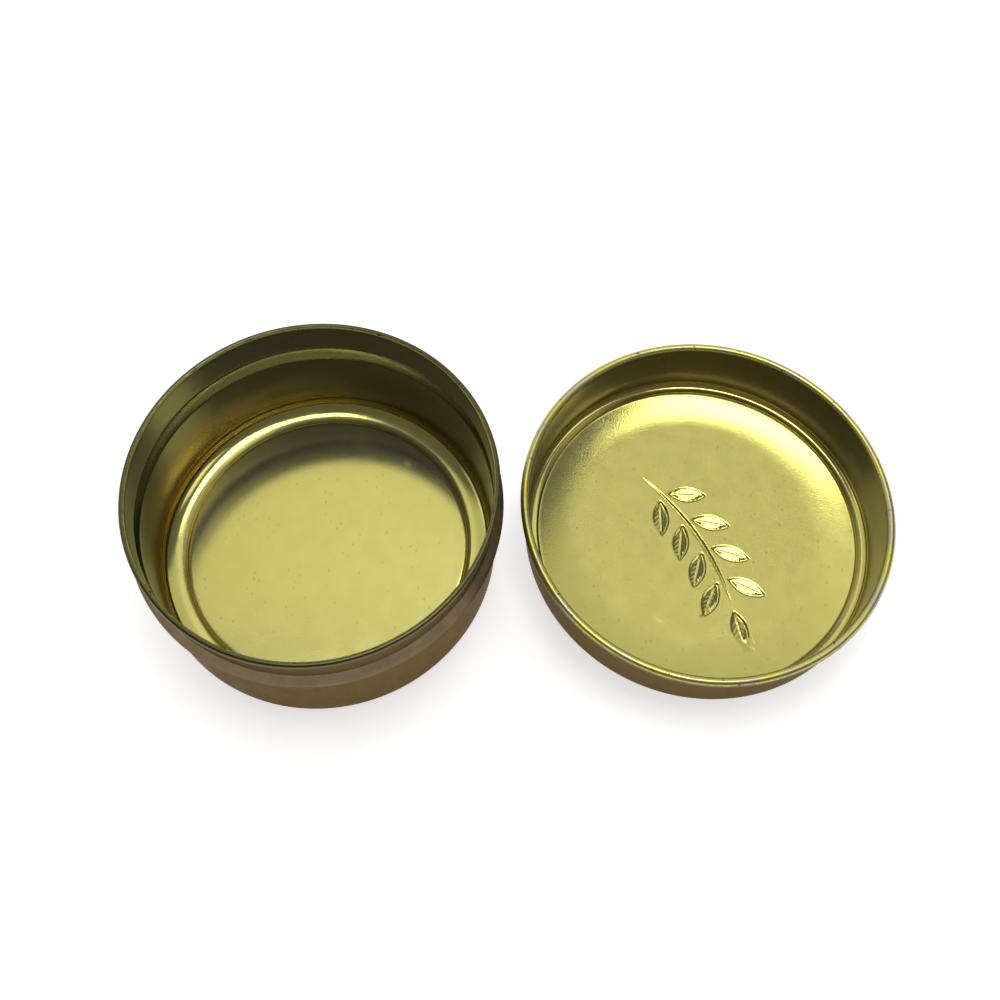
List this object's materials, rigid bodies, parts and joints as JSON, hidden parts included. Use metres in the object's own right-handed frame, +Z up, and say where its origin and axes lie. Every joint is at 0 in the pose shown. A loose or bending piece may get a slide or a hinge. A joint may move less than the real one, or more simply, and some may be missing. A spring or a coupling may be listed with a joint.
{
  "type": "round slip-lid lip balm tin",
  "caption": "Round drawn tin for lip balm, gold inside and brown outside: an open base with a stop bead, and its slip lid lying beside it, turned over.",
  "frame": {"origin": "middle of the two pieces' shared outline, on the surface they stand on; the base's axis is 25.10 mm from it towards -X, the lid's 24.27 mm towards +X", "axes": "+Z up, out of the base's mouth and the turned-over lid's mouth; +X from the base to the lid; +Y away from the viewer in the picture"},
  "size_m": [0.0966, 0.048, 0.0204],
  "materials": {
    "base_coat": "satin gold lacquer inside, satin taupe-brown coat outside, both on tinplate",
    "lid_coat": "satin gold lacquer inside and over the rolled edge, satin taupe-brown coat outside, both on tinplate"
  },
  "bodies": {
    "base": {"tin_base": "base_coat"},
    "lid": {"tin_lid": "lid_coat"}
  },
  "joints": [
    {"name": "lid_lift", "type": "slide", "parent": "base", "child": "lid", "axis": [0, 0, 1], "range_m": [0, 0.045]}
  ]
}
